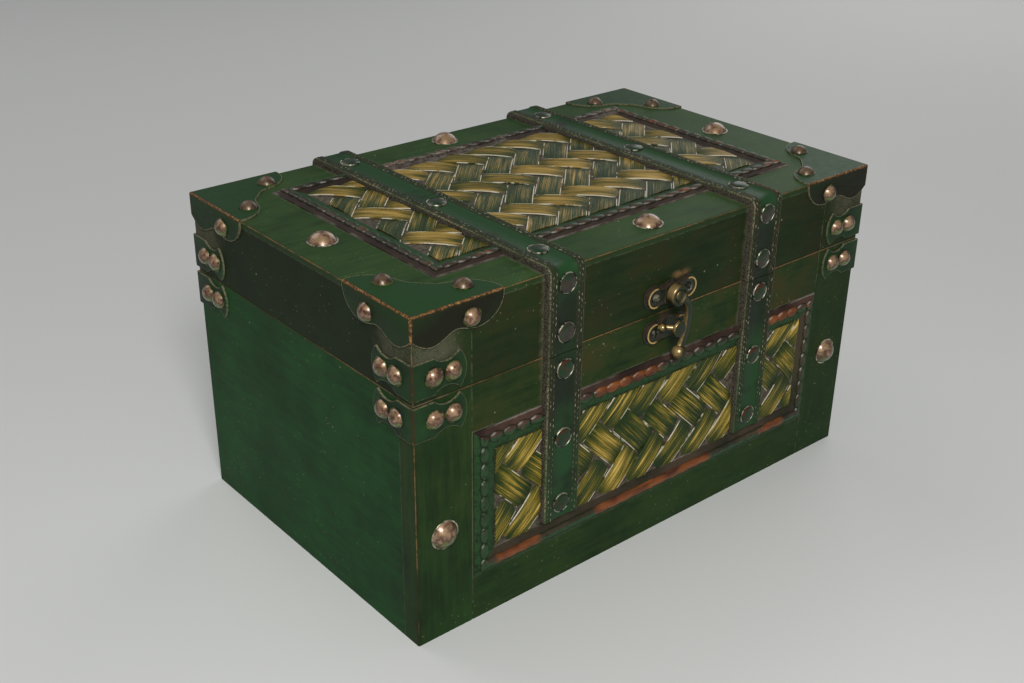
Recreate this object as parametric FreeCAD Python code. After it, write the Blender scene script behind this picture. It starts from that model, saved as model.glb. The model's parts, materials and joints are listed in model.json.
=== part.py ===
# Keepsake chest with beaded mouldings, woven panels, straps, corner mounts and a swing hook clasp.
# Millimetres. X runs to the right, Y to the back and Z up. The origin is the middle of the base.
import math
import os

import FreeCAD, Part

os.makedirs("parts", exist_ok=True)
V = FreeCAD.Vector

# Case, over the boards
case_width = 300.0
case_depth = 184.0
body_height = 126.3
lid_height = 40.3
seam_gap = 0.4

# Boards
front_thickness = 10.5
side_thickness = 9.0
back_thickness = 6.0
bottom_thickness = 6.0
top_thickness = 3.0
stile_width = 31.5
edge_round = 0.8
joint_chamfer = 0.4

# Clearances
trim_gap = 0.3
moving_gap = 0.4
running_gap = 0.06

# Beaded moulding
moulding_width = 12.0
moulding_height = 3.0
bead_pitch = 8.5
bead_foot = 0.6
notch_depth = 1.1
notch_half = 1.0

# Frames of moulding on the front and on the lid
frame_side_margin = 32.0
front_frame_foot = 24.5
front_frame_drop = 24.3
lid_frame_front = 26.5
lid_frame_rear = 24.0

# Straps
strap_inset = 83.0
strap_width = 22.0
strap_thickness = 3.5
strap_channel = 12.0
channel_depth = 0.5
strap_bend = 4.5
strap_foot_gap = 1.5

# Woven panels
strip_pitch = 14.0
strip_width = 13.0
float_length = 27.0
float_end = 0.8
float_height = 1.6
sheet_thickness = 0.5
front_weave_shift = (-2.5, 90.5)
lid_weave_shift = (1.6, -5.4)

# Nail heads and studs
nail_radius = 4.9
nail_height = 3.4
dome_radius = 7.5
dome_height = 4.6
stud_radius = 5.2
stud_height = 1.5
head_rim = 0.35
lid_dome_shift = 1.0
side_dome_shift = 1.5
front_dome_drops = (8.0, 2.0)
stud_end_gap = 8.0
lid_stud_inset = 17.0
lid_stud_low = 10.0
lid_stud_high = 6.0
screw_radius = 2.2
screw_height = 0.6
screw_slot = 0.7

# Corner caps of the lid
metal_thickness = 1.0
cap_reach = 48.5
cap_drop = 15.6
cap_top_nail = (11.5, 36.0)
cap_side_nail = (31.0, 8.0)

# Corner brackets
bracket_height = 17.0
bracket_flat = 11.0
bracket_tip = 24.5
bracket_reach = 28.0
bracket_notch = 2.7
bracket_nails = (10.6, 20.8)
bracket_seam_gap = 2.0

# Clasp
clasp_x = 2.2
pivot_rise = 9.4
plate_thickness = 2.8
plate_lobe = 6.2
plate_flange = 1.0
plate_waist = 4.2
flange_thickness = 0.8
pocket_rim = 0.9
pocket_depth = 0.6
plate_screw_offset = 11.3
hook_pad = 4.8
hook_boss = 5.5
boss_height = 4.9
boss_chamfer = 0.6
boss_recess = 3.7
recess_depth = 1.1
hook_half_width = 2.0
hook_thickness = 2.8
hook_chamfer = 0.7
hook_out = 5.4
hook_bulge = (8.8, -12.0)
hook_ball = (3.4, -31.8)
ball_radius = 3.9
ball_out = 6.0
rivet_radius = 1.5
rivet_head_radius = 2.8
rivet_head_height = 1.3
catch_x = 0.3
catch_drop = 9.0
catch_screw_offset = 8.6
catch_pad = 6.6
catch_rise = 2.6
post_radius = 1.7
post_foot = 2.2
post_foot_shift = -5.0
post_lean = 5.4
post_head_radius = 4.0
post_head_thickness = 2.0
post_head_round = 0.7
post_reach = 8.6

# Hinges
hinge_inset = 50.0
hinge_length = 30.0
leaf_height = 14.0
leaf_thickness = 1.2
knuckle_radius = 2.4
pin_radius = 1.1
hinge_screw_offset = 9.0

# Places that follow from the sizes above
left_x = -case_width / 2
right_x = case_width / 2
front_y = -case_depth / 2
back_y = case_depth / 2
lid_bottom = body_height + seam_gap
case_height = lid_bottom + lid_height
lid_wall_top = case_height - top_thickness
inner_front = front_y + front_thickness
inner_back = back_y - back_thickness
inner_right = right_x - side_thickness
frame_left = left_x + frame_side_margin
frame_right = right_x - frame_side_margin
front_frame_top = body_height - front_frame_drop
lid_frame_y0 = front_y + lid_frame_front
lid_frame_y1 = back_y - lid_frame_rear
strap_offset = right_x - strap_inset
strap_foot = front_frame_foot + moulding_width + strap_foot_gap
strap_half = strap_width / 2
channel_level = strap_thickness - channel_depth
lid_bracket_z = lid_bottom + bracket_seam_gap + bracket_height / 2
body_bracket_z = body_height - bracket_seam_gap / 2 - bracket_height / 2
pocket_floor = plate_thickness - pocket_depth
hook_level = plate_thickness + moving_gap
boss_top = hook_level + boss_height
pivot_height = lid_bottom + pivot_rise
catch_height = body_height - catch_drop
hinge_offset = right_x - hinge_inset
hinge_y = back_y + knuckle_radius + trim_gap
hinge_z = body_height + seam_gap / 2

nodes = {}


# Faces of the case that trim is set on: origin, direction along, direction outward.
# On each one the third direction is up, or to the back on the lid.
front_face = (V(0, front_y, 0), V(1, 0, 0), V(0, -1, 0))
back_face = (V(0, back_y, 0), V(-1, 0, 0), V(0, 1, 0))
left_face = (V(left_x, 0, 0), V(0, -1, 0), V(-1, 0, 0))
lid_face = (V(0, 0, case_height), V(1, 0, 0), V(0, 0, 1))


def placed(shape, origin, along, outward):
    across = outward.cross(along)
    turn = FreeCAD.Matrix(
        along.x, across.x, outward.x, origin.x,
        along.y, across.y, outward.y, origin.y,
        along.z, across.z, outward.z, origin.z,
        0, 0, 0, 1,
    )
    copy = shape.copy()
    copy.Placement = FreeCAD.Placement(turn).multiply(copy.Placement)
    return copy


def on_face(shape, face, u, v, w=0.0):
    moved = shape.copy()
    moved.translate(V(u, v, w))
    return placed(moved, *face)


def mirrored_x(shape):
    return shape.mirror(V(0, 0, 0), V(1, 0, 0))


def mirrored_y(shape):
    return shape.mirror(V(0, 0, 0), V(0, 1, 0))


def block(x0, x1, y0, y1, z0, z1):
    return Part.makeBox(x1 - x0, y1 - y0, z1 - z0, V(x0, y0, z0))


def at(value, low, high):
    return abs(low - value) < 0.001 and abs(high - value) < 0.001


def edges_along_z(shape, x, y):
    return [e for e in shape.Edges if at(x, e.BoundBox.XMin, e.BoundBox.XMax)
            and at(y, e.BoundBox.YMin, e.BoundBox.YMax)]


def polygon(points):
    return Part.makePolygon([V(*p) for p in points] + [V(*points[0])])


def through(points):
    curve = Part.BSplineCurve()
    curve.interpolate([V(*p) for p in points])
    return curve.toShape()


def arc(start, middle, end):
    return Part.Arc(V(*start), V(*middle), V(*end)).toShape()


def line(start, end):
    return Part.makeLine(V(*start), V(*end))


# Boards of the body

def stile(outer_x, inner_x, bottom, top):
    board = block(min(outer_x, inner_x), max(outer_x, inner_x), front_y, inner_front, bottom, top)
    board = board.makeFillet(edge_round, edges_along_z(board, outer_x, front_y))
    return board.makeChamfer(joint_chamfer, edges_along_z(board, inner_x, front_y))


def front_board(bottom, top):
    half = right_x - stile_width
    board = block(-half, half, front_y, inner_front, bottom, top)
    joints = edges_along_z(board, -half, front_y) + edges_along_z(board, half, front_y)
    return board.makeChamfer(joint_chamfer, joints)


def side_board(bottom, top):
    return block(left_x, left_x + side_thickness, inner_front, inner_back, bottom, top)


def back_board(bottom, top):
    board = block(left_x, right_x, inner_back, back_y, bottom, top)
    corners = edges_along_z(board, left_x, back_y) + edges_along_z(board, right_x, back_y)
    return board.makeFillet(edge_round, corners)


def bottom_board():
    return block(-inner_right, inner_right, inner_front, inner_back, 0, bottom_thickness)


def top_board():
    board = block(left_x, right_x, front_y, back_y, lid_wall_top, case_height)
    rim = [e for e in board.Edges if at(case_height, e.BoundBox.ZMin, e.BoundBox.ZMax)]
    corners = [e for e in board.Edges if e.BoundBox.ZLength > top_thickness / 2]
    return board.makeFillet(edge_round, rim + corners)


# Beaded moulding: the run lies along +X, its outer edge at y = 0 and its seat at z = 0

def moulding_run(length, mitre_start, mitre_end):
    crest = moulding_width / 2
    profile = Part.Wire([
        line((0, 0, 0), (0, 0, bead_foot)),
        arc((0, 0, bead_foot), (0, crest, moulding_height), (0, moulding_width, bead_foot)),
        line((0, moulding_width, bead_foot), (0, moulding_width, 0)),
        line((0, moulding_width, 0), (0, 0, 0)),
    ])
    run = Part.Face(profile).extrude(V(length, 0, 0))
    count = max(1, round(length / bead_pitch))
    step = length / count
    floor = moulding_height - notch_depth
    tall = notch_depth + 1.0
    wide = notch_half * tall / notch_depth
    cutters = []
    for index in range(count + 1):
        x = index * step
        corners = [(x, -1, floor), (x + wide, -1, floor + tall), (x - wide, -1, floor + tall)]
        notch = Part.Face(polygon(corners))
        cutters.append(notch.extrude(V(0, moulding_width + 2, 0)))
    reach = moulding_width + 1
    if mitre_start:
        corner = Part.Face(polygon([(-1, -1, -1), (reach, reach, -1), (-1, reach, -1)]))
        cutters.append(corner.extrude(V(0, 0, moulding_height + 2)))
    if mitre_end:
        far = length
        corner = Part.Face(polygon([(far + 1, -1, -1), (far + 1, reach, -1), (far - reach, reach, -1)]))
        cutters.append(corner.extrude(V(0, 0, moulding_height + 2)))
    return run.cut(cutters)


def crossed_run(start, end, stops):
    pieces = []
    edges = [start] + [s + side * (strap_half + trim_gap) for s in stops for side in (-1, 1)] + [end]
    for index in range(0, len(edges), 2):
        piece = moulding_run(edges[index + 1] - edges[index], index == 0, index + 2 == len(edges))
        piece.translate(V(edges[index] - start, 0, 0))
        pieces.append(piece)
    return Part.makeCompound(pieces)


def frame_sides(u0, u1, v0, v1, face, origin_out):
    origin, along, outward = face
    up = outward.cross(along)
    base = origin + outward * origin_out
    lower_left = base + along * u0 + up * v0
    lower_right = base + along * u1 + up * v0
    upper_left = base + along * u0 + up * v1
    upper_right = base + along * u1 + up * v1
    return {
        "low": (lower_left, along, outward),
        "right": (lower_right, up, outward),
        "high": (upper_right, -along, outward),
        "left": (upper_left, -up, outward),
    }


def front_frame():
    sides = frame_sides(frame_left, frame_right, front_frame_foot, front_frame_top, front_face, 0)
    width = frame_right - frame_left
    height = front_frame_top - front_frame_foot
    upright = moulding_run(height, True, True)
    crossed = crossed_run(frame_left, frame_right, (-strap_offset, strap_offset))
    return {
        "front_moulding_bottom": placed(moulding_run(width, True, True), *sides["low"]),
        "front_moulding_right": placed(upright, *sides["right"]),
        "front_moulding_top": placed(crossed, *sides["high"]),
        "front_moulding_left": placed(upright, *sides["left"]),
    }


def lid_frame():
    sides = frame_sides(frame_left, frame_right, lid_frame_y0, lid_frame_y1, lid_face, 0)
    upright = moulding_run(lid_frame_y1 - lid_frame_y0, True, True)
    crossed = crossed_run(frame_left, frame_right, (-strap_offset, strap_offset))
    return {
        "lid_moulding_front": placed(crossed, *sides["low"]),
        "lid_moulding_right": placed(upright, *sides["right"]),
        "lid_moulding_rear": placed(crossed, *sides["high"]),
        "lid_moulding_left": placed(upright, *sides["left"]),
    }


# Woven panels: a sheet with arched strips lying two over, two under, at 45 degrees

def woven_float():
    half = float_length / 2
    side = Part.Wire([
        line((-half, 0, 0), (half, 0, 0)),
        line((half, 0, 0), (half, 0, float_end)),
        arc((half, 0, float_end), (0, 0, float_height), (-half, 0, float_end)),
        line((-half, 0, float_end), (-half, 0, 0)),
    ])
    pad = Part.Face(side).extrude(V(0, strip_width, 0))
    pad.translate(V(0, -strip_width / 2, 0))
    return pad


def woven_sheet(u0, u1, v0, v1, shift):
    cell = strip_pitch / math.sqrt(2)
    reach = int((u1 - u0 + v1 - v0) / cell) + 8
    pads = []
    for i in range(-reach, reach + 1):
        for j in range(-reach, reach + 1):
            over = (i - j) % 4
            if over == 1:
                step, turn, mid = (0, 0.5), 45, float_length / 2
            elif over == 2:
                step, turn, mid = (0.5, 0), -45, float_length / 2
            else:
                continue
            u = shift[0] + cell * (i + step[0] + j + step[1])
            v = shift[1] + cell * (j + step[1] - i - step[0])
            if u0 - mid < u < u1 + mid and v0 - mid < v < v1 + mid:
                pad = woven_float()
                pad.rotate(V(0, 0, 0), V(0, 0, 1), turn)
                pad.translate(V(u, v, 0))
                pads.append(pad)
    window = block(u0, u1, v0, v1, 0, float_height + 1)
    sheet = block(u0, u1, v0, v1, 0, sheet_thickness)
    inside = [pad.common(window) for pad in pads]
    return sheet.fuse([pad for pad in inside if pad.Solids])


def woven_panels(v0, v1, shift, face):
    near = strap_offset - strap_half - trim_gap
    far = strap_offset + strap_half + trim_gap
    side = frame_right - moulding_width
    spans = ((-side, -far), (-near, near), (far, side))
    return Part.makeCompound([placed(woven_sheet(a, b, v0, v1, shift), *face) for a, b in spans])


# Straps: two raised rims with a channel between them

def strap_bands():
    rim = (strap_width - strap_channel) / 2
    return ((-strap_half, rim, strap_thickness), (-strap_channel / 2, strap_channel, channel_level),
            (strap_channel / 2, rim, strap_thickness))


def front_strap(x):
    bands = [block(x + start, x + start + width, front_y - thick, front_y, strap_foot, body_height)
             for start, width, thick in strap_bands()]
    return bands[0].fuse(bands[1:]).removeSplitter()


def lid_strap_side(thick):
    bend = strap_bend - (strap_thickness - thick)
    slant = bend * (1 - math.sqrt(0.5))
    front, back, top = front_y - thick, back_y + thick, case_height + thick
    return Part.Face(Part.Wire([
        line((0, front_y, lid_bottom), (0, front, lid_bottom)),
        line((0, front, lid_bottom), (0, front, top - bend)),
        arc((0, front, top - bend), (0, front + slant, top - slant), (0, front + bend, top)),
        line((0, front + bend, top), (0, back - bend, top)),
        arc((0, back - bend, top), (0, back - slant, top - slant), (0, back, top - bend)),
        line((0, back, top - bend), (0, back, lid_bottom)),
        line((0, back, lid_bottom), (0, back_y, lid_bottom)),
        line((0, back_y, lid_bottom), (0, back_y, case_height)),
        line((0, back_y, case_height), (0, front_y, case_height)),
        line((0, front_y, case_height), (0, front_y, lid_bottom)),
    ]))


def lid_strap(x):
    bands = []
    for start, width, thick in strap_bands():
        band = lid_strap_side(thick).extrude(V(width, 0, 0))
        band.translate(V(x + start, 0, 0))
        bands.append(band)
    return bands[0].fuse(bands[1:]).removeSplitter()


# Nail heads, studs and screw heads stand on z = 0

def dome(radius, height):
    rise = height - head_rim
    sphere = (radius * radius + rise * rise) / (2 * rise)
    half_angle = math.asin(min(1.0, radius / sphere)) / 2
    middle = (sphere * math.sin(half_angle), 0, height - sphere * (1 - math.cos(half_angle)))
    side = Part.Wire([
        line((0, 0, 0), (radius, 0, 0)),
        line((radius, 0, 0), (radius, 0, head_rim)),
        arc((radius, 0, head_rim), middle, (0, 0, height)),
        line((0, 0, height), (0, 0, 0)),
    ])
    return Part.Face(side).revolve(V(0, 0, 0), V(0, 0, 1), 360)


def screw_head():
    head = Part.makeCylinder(screw_radius, screw_height)
    half = screw_slot / 2
    reach = 2 * screw_radius
    slot = block(-reach, reach, -half, half, screw_height / 2, 2 * screw_height)
    cross = block(-half, half, -reach, reach, screw_height / 2, 2 * screw_height)
    return head.cut([slot, cross])


def lid_dome_nails():
    head = dome(dome_radius, dome_height)
    side_x = (right_x + frame_right) / 2 - side_dome_shift
    front_v = (front_y + lid_frame_y0) / 2 + lid_dome_shift
    rear_v = (back_y + lid_frame_y1) / 2 + lid_dome_shift
    places = ((-side_x, 0), (side_x, 0), (0, front_v), (0, rear_v))
    return Part.makeCompound([on_face(head, lid_face, u, v) for u, v in places])


def front_dome_nails():
    head = dome(dome_radius, dome_height)
    middle = (front_frame_foot + front_frame_top) / 2
    side_x = right_x - stile_width / 2
    places = zip((-side_x, side_x), front_dome_drops)
    return Part.makeCompound([on_face(head, front_face, u, middle - drop) for u, drop in places])


def front_strap_studs():
    head = dome(stud_radius, stud_height)
    heights = (strap_foot + stud_end_gap, (strap_foot + body_height) / 2, body_height - stud_end_gap)
    return Part.makeCompound([on_face(head, front_face, x, z, channel_level)
                              for x in (-strap_offset, strap_offset) for z in heights])


def lid_strap_studs():
    head = dome(stud_radius, stud_height)
    heads = []
    for x in (-strap_offset, strap_offset):
        for y in (front_y + lid_stud_inset, 0, back_y - lid_stud_inset):
            heads.append(on_face(head, lid_face, x, y, channel_level))
        for z in (lid_bottom + lid_stud_low, case_height - lid_stud_high):
            heads.append(on_face(head, front_face, x, z, channel_level))
            heads.append(on_face(head, back_face, x, z, channel_level))
    return Part.makeCompound(heads)


# Corner caps of the lid, drawn at the front left corner

def cap_side_outline():
    shape = ((1.0, 0.0), (0.965, 0.42), (0.87, 0.72), (0.72, 0.86), (0.595, 0.81), (0.475, 0.72),
             (0.35, 0.86), (0.205, 1.0), (0.085, 0.89), (0.0, 0.69))
    return [(cap_reach * s, cap_drop * t) for s, t in shape]


def cap_top_outline():
    half = ((0.0, 1.0), (0.165, 0.97), (0.31, 0.845), (0.365, 0.70), (0.415, 0.58))
    folded = half + ((0.495, 0.495),) + tuple((b, a) for a, b in reversed(half))
    return [(cap_reach * a, cap_reach * b) for a, b in folded]


def corner_cap():
    t = metal_thickness
    top = cap_top_outline()
    top_curve = through([(left_x + a, front_y + b, case_height) for a, b in top])
    top_wing = Part.Face(Part.Wire([
        top_curve,
        line((left_x + cap_reach, front_y, case_height), (left_x + cap_reach, front_y - t, case_height)),
        line((left_x + cap_reach, front_y - t, case_height), (left_x - t, front_y - t, case_height)),
        line((left_x - t, front_y - t, case_height), (left_x - t, front_y + cap_reach, case_height)),
        line((left_x - t, front_y + cap_reach, case_height), (left_x, front_y + cap_reach, case_height)),
    ])).extrude(V(0, 0, t))
    side = cap_side_outline()
    foot = side[-1][1]
    front_wing = Part.Face(Part.Wire([
        through([(left_x + s, front_y, case_height - d) for s, d in side]),
        line((left_x, front_y, case_height - foot), (left_x - t, front_y, case_height - foot)),
        line((left_x - t, front_y, case_height - foot), (left_x - t, front_y, case_height)),
        line((left_x - t, front_y, case_height), (left_x + cap_reach, front_y, case_height)),
    ])).extrude(V(0, -t, 0))
    left_wing = Part.Face(Part.Wire([
        through([(left_x, front_y + s, case_height - d) for s, d in side]),
        line((left_x, front_y, case_height - foot), (left_x, front_y - t, case_height - foot)),
        line((left_x, front_y - t, case_height - foot), (left_x, front_y - t, case_height)),
        line((left_x, front_y - t, case_height), (left_x, front_y + cap_reach, case_height)),
    ])).extrude(V(-t, 0, 0))
    return top_wing.fuse([front_wing, left_wing]).removeSplitter()


def cap_nails():
    head = dome(nail_radius, nail_height)
    t = metal_thickness
    a, b = cap_top_nail
    s, d = cap_side_nail
    return [
        on_face(head, lid_face, left_x + a, front_y + b, t),
        on_face(head, lid_face, left_x + b, front_y + a, t),
        on_face(head, front_face, left_x + s, case_height - d, t),
        on_face(head, left_face, -front_y - s, case_height - d, t),
    ]


# Corner brackets, drawn at the front left corner

def bracket_wing(face, corner_u, inward, z):
    t = metal_thickness
    half = bracket_height / 2
    tip = half + 0.4
    notch_s = (bracket_flat + bracket_tip) / 2
    notch_v = half - bracket_notch

    def point(s, v):
        return (corner_u + inward * s, z + v, 0)

    wire = Part.Wire([
        line(point(-t, half), point(bracket_flat, half)),
        arc(point(bracket_flat, half), point(notch_s, notch_v), point(bracket_tip, tip)),
        arc(point(bracket_tip, tip), point(bracket_reach, 0), point(bracket_tip, -tip)),
        arc(point(bracket_tip, -tip), point(notch_s, -notch_v), point(bracket_flat, -half)),
        line(point(bracket_flat, -half), point(-t, -half)),
        line(point(-t, -half), point(-t, half)),
    ])
    return placed(Part.Face(wire).extrude(V(0, 0, t)), *face)


def bracket(z):
    front_wing = bracket_wing(front_face, left_x, 1, z)
    left_wing = bracket_wing(left_face, -front_y, -1, z)
    return front_wing.fuse(left_wing).removeSplitter()


def bracket_heads(z):
    head = dome(nail_radius, nail_height)
    heads = []
    for s in bracket_nails:
        heads.append(on_face(head, front_face, left_x + s, z, metal_thickness))
        heads.append(on_face(head, left_face, -front_y - s, z, metal_thickness))
    return heads


def four_corners(shape):
    return {
        "front_left": shape,
        "front_right": mirrored_x(shape),
        "rear_left": mirrored_y(shape),
        "rear_right": mirrored_x(mirrored_y(shape)),
    }


def all_corners(shapes):
    return [copy for shape in shapes for copy in four_corners(shape).values()]


# Clasp

def lobes(radius, waist, height, offset, rise):
    places = ((-offset, 0), (0, rise), (offset, 0))
    discs = [Part.makeCylinder(radius, height, V(u, v, 0)) for u, v in places]
    bar = block(-offset, offset, -waist, waist, 0, height)
    return bar.fuse(discs).removeSplitter()


def pocket(offset, pad, side):
    start, end = sorted((side * pad, side * offset))
    half = plate_waist - pocket_rim
    hollow = Part.makeCylinder(plate_lobe - plate_flange - pocket_rim, plate_thickness, V(side * offset, 0, 0))
    hollow = hollow.fuse(block(start, end, -half, half, 0, plate_thickness)).removeSplitter()
    hollow.translate(V(0, 0, pocket_floor))
    return hollow


def lobed_plate(offset, rise, pad):
    flange = lobes(plate_lobe, plate_waist + plate_flange, flange_thickness, offset, rise)
    raised = lobes(plate_lobe - plate_flange, plate_waist, plate_thickness, offset, rise)
    plate = flange.fuse(raised).removeSplitter()
    return plate.cut([pocket(offset, pad, side) for side in (-1, 1)])


def hook_plate():
    bore = Part.makeCylinder(rivet_radius, 3 * plate_thickness, V(0, 0, -plate_thickness))
    plate = lobed_plate(plate_screw_offset, 0, hook_pad).cut(bore)
    return on_face(plate, front_face, clasp_x, pivot_height)


def catch_plate():
    return on_face(lobed_plate(catch_screw_offset, catch_rise, catch_pad), front_face, catch_x, catch_height)


def plate_screws(x, z, offset):
    head = screw_head()
    places = (x - offset, x + offset)
    return Part.makeCompound([on_face(head, front_face, u, z, pocket_floor) for u in places])


def catch_post():
    neck = post_reach - plate_thickness
    foot = V(post_foot_shift, 0, 0)
    lean = V(post_lean, 0, neck)
    start = foot - lean
    shaft = Part.makeCylinder(post_radius, 3 * lean.Length, start, lean)
    shaft = shaft.fuse(Part.makeSphere(post_foot, foot + V(0, 0, post_foot / 2)))
    wide = 4 * post_reach
    shaft = shaft.common(block(-wide, wide, -wide, wide, 0, neck + head_rim))
    head = Part.makeCylinder(post_head_radius, post_head_thickness)
    head = head.makeFillet(post_head_round, [e for e in head.Edges if e.isClosed()])
    head.translate(foot + lean)
    return on_face(shaft.fuse(head), front_face, catch_x, catch_height + catch_rise, plate_thickness)


def hook_rivet():
    seat = boss_top - recess_depth + moving_gap
    shank = Part.makeCylinder(rivet_radius, seat)
    head = dome(rivet_head_radius, rivet_head_height)
    head.translate(V(0, 0, seat))
    return on_face(shank.fuse(head), front_face, clasp_x, pivot_height)


def hook_arm(end, sign):
    bulge_u, bulge_v = hook_bulge
    du, dv = end[0] - bulge_u, end[1] - bulge_v
    radius = -(du * du + dv * dv) / (2 * du)
    centre = V(bulge_u - radius, bulge_v, 0)
    sweep = math.degrees(math.asin(abs(dv) / radius))
    level = hook_out
    half_w, half_t, c = hook_half_width, hook_thickness / 2, hook_chamfer
    quarter = ((half_w, half_t - c), (half_w - c, half_t), (c - half_w, half_t), (-half_w, half_t - c))
    section = quarter + tuple((-u, -w) for u, w in quarter)
    face = Part.Face(polygon([(bulge_u + u, bulge_v, level + w) for u, w in section]))
    return face.revolve(centre, V(0, 0, 1), sign * sweep)


def hook():
    boss = Part.makeCylinder(hook_boss, boss_height, V(0, 0, hook_level))
    boss = boss.makeChamfer(boss_chamfer, boss.Edges)
    ball = Part.makeSphere(ball_radius, V(hook_ball[0], hook_ball[1], ball_out))
    body = boss.fuse([hook_arm((0, 0), 1), hook_arm(hook_ball, -1), ball])
    bore = Part.makeCylinder(rivet_radius + running_gap, 2 * boss_top, V(0, 0, 0))
    recess = Part.makeCylinder(boss_recess, boss_height, V(0, 0, boss_top - recess_depth))
    return on_face(body.cut([bore, recess]), front_face, clasp_x, pivot_height)


# Hinges: two knuckles on the body leaf with the lid leaf's knuckle between them

def knuckle(x0, x1, radius):
    return Part.makeCylinder(radius, x1 - x0, V(x0, hinge_y, hinge_z), V(1, 0, 0))


def hinge_leaf(x, upward):
    half = hinge_length / 2
    third = hinge_length / 6
    outer = ((-half, -third - trim_gap / 2), (third + trim_gap / 2, half))
    inner = ((-third + trim_gap / 2, third - trim_gap / 2),)
    mine, other = (inner, outer) if upward else (outer, inner)
    low, high = (hinge_z, hinge_z + leaf_height) if upward else (hinge_z - leaf_height, hinge_z)
    plate = block(-half, half, back_y, back_y + leaf_thickness, low, high)
    leaf = plate.fuse([knuckle(a, b, knuckle_radius) for a, b in mine])
    room = [knuckle(a - trim_gap, b + trim_gap, knuckle_radius + moving_gap) for a, b in other]
    leaf = leaf.cut(room + [knuckle(-half - 1, half + 1, pin_radius + running_gap)])
    seam = block(-half - 1, half + 1, back_y - 1, back_y + leaf_thickness + trim_gap, hinge_z - trim_gap,
                 hinge_z + trim_gap)
    keep = [knuckle(a, b, knuckle_radius) for a, b in mine]
    leaf = leaf.cut(seam.cut(keep))
    leaf.translate(V(x, 0, 0))
    return leaf


def hinge_pin(x):
    half = hinge_length / 2
    pin = knuckle(-half, half, pin_radius)
    pin.translate(V(x, 0, 0))
    return pin


def hinge_screws(upward):
    head = screw_head()
    z = hinge_z + (1 if upward else -1) * leaf_height * 0.6
    return Part.makeCompound([on_face(head, back_face, side * hinge_offset + u, z, leaf_thickness)
                              for side in (-1, 1) for u in (-hinge_screw_offset, hinge_screw_offset)])


# Body
nodes["front_stile_left"] = stile(left_x, left_x + stile_width, 0, body_height)
nodes["front_stile_right"] = stile(right_x, right_x - stile_width, 0, body_height)
nodes["front_board"] = front_board(0, body_height)
nodes["body_side_left"] = side_board(0, body_height)
nodes["body_side_right"] = mirrored_x(side_board(0, body_height))
nodes["body_back"] = back_board(0, body_height)
nodes["body_bottom"] = bottom_board()
nodes.update(front_frame())
nodes["front_woven_panel"] = woven_panels(
    front_frame_foot + moulding_width, front_frame_top - moulding_width, front_weave_shift, front_face)
nodes["front_strap_left"] = front_strap(-strap_offset)
nodes["front_strap_right"] = front_strap(strap_offset)
nodes["front_strap_studs"] = front_strap_studs()
nodes["front_dome_nails"] = front_dome_nails()
for corner, shape in four_corners(bracket(body_bracket_z)).items():
    nodes["body_bracket_" + corner] = shape
nodes["body_bracket_nails"] = Part.makeCompound(all_corners(bracket_heads(body_bracket_z)))
nodes["catch_plate"] = catch_plate()
nodes["catch_post"] = catch_post()
nodes["catch_screws"] = plate_screws(catch_x, catch_height, catch_screw_offset)
nodes["hinge_body_leaves"] = Part.makeCompound([hinge_leaf(s * hinge_offset, False) for s in (-1, 1)])
nodes["hinge_pins"] = Part.makeCompound([hinge_pin(s * hinge_offset) for s in (-1, 1)])
nodes["hinge_body_screws"] = hinge_screws(False)

# Lid
nodes["lid_stile_left"] = stile(left_x, left_x + stile_width, lid_bottom, lid_wall_top)
nodes["lid_stile_right"] = stile(right_x, right_x - stile_width, lid_bottom, lid_wall_top)
nodes["lid_front_board"] = front_board(lid_bottom, lid_wall_top)
nodes["lid_side_left"] = side_board(lid_bottom, lid_wall_top)
nodes["lid_side_right"] = mirrored_x(side_board(lid_bottom, lid_wall_top))
nodes["lid_back"] = back_board(lid_bottom, lid_wall_top)
nodes["lid_top_board"] = top_board()
nodes.update(lid_frame())
nodes["lid_woven_panel"] = woven_panels(
    lid_frame_y0 + moulding_width, lid_frame_y1 - moulding_width, lid_weave_shift, lid_face)
nodes["lid_strap_left"] = lid_strap(-strap_offset)
nodes["lid_strap_right"] = lid_strap(strap_offset)
nodes["lid_strap_studs"] = lid_strap_studs()
nodes["lid_dome_nails"] = lid_dome_nails()
for corner, shape in four_corners(corner_cap()).items():
    nodes["lid_cap_" + corner] = shape
for corner, shape in four_corners(bracket(lid_bracket_z)).items():
    nodes["lid_bracket_" + corner] = shape
nodes["lid_corner_nails"] = Part.makeCompound(all_corners(cap_nails() + bracket_heads(lid_bracket_z)))
nodes["hook_plate"] = hook_plate()
nodes["hook_rivet"] = hook_rivet()
nodes["hook_screws"] = plate_screws(clasp_x, pivot_height, plate_screw_offset)
nodes["hinge_lid_leaves"] = Part.makeCompound([hinge_leaf(s * hinge_offset, True) for s in (-1, 1)])
nodes["hinge_lid_screws"] = hinge_screws(True)

# Hook
nodes["hook"] = hook()

for name, shape in nodes.items():
    shape.exportStep("parts/" + name + ".step")
    print(name, len(shape.Solids), shape.isValid())
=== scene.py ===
import json
import math
import random

import bmesh
import bpy
from mathutils import Matrix, Vector, noise


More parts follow.
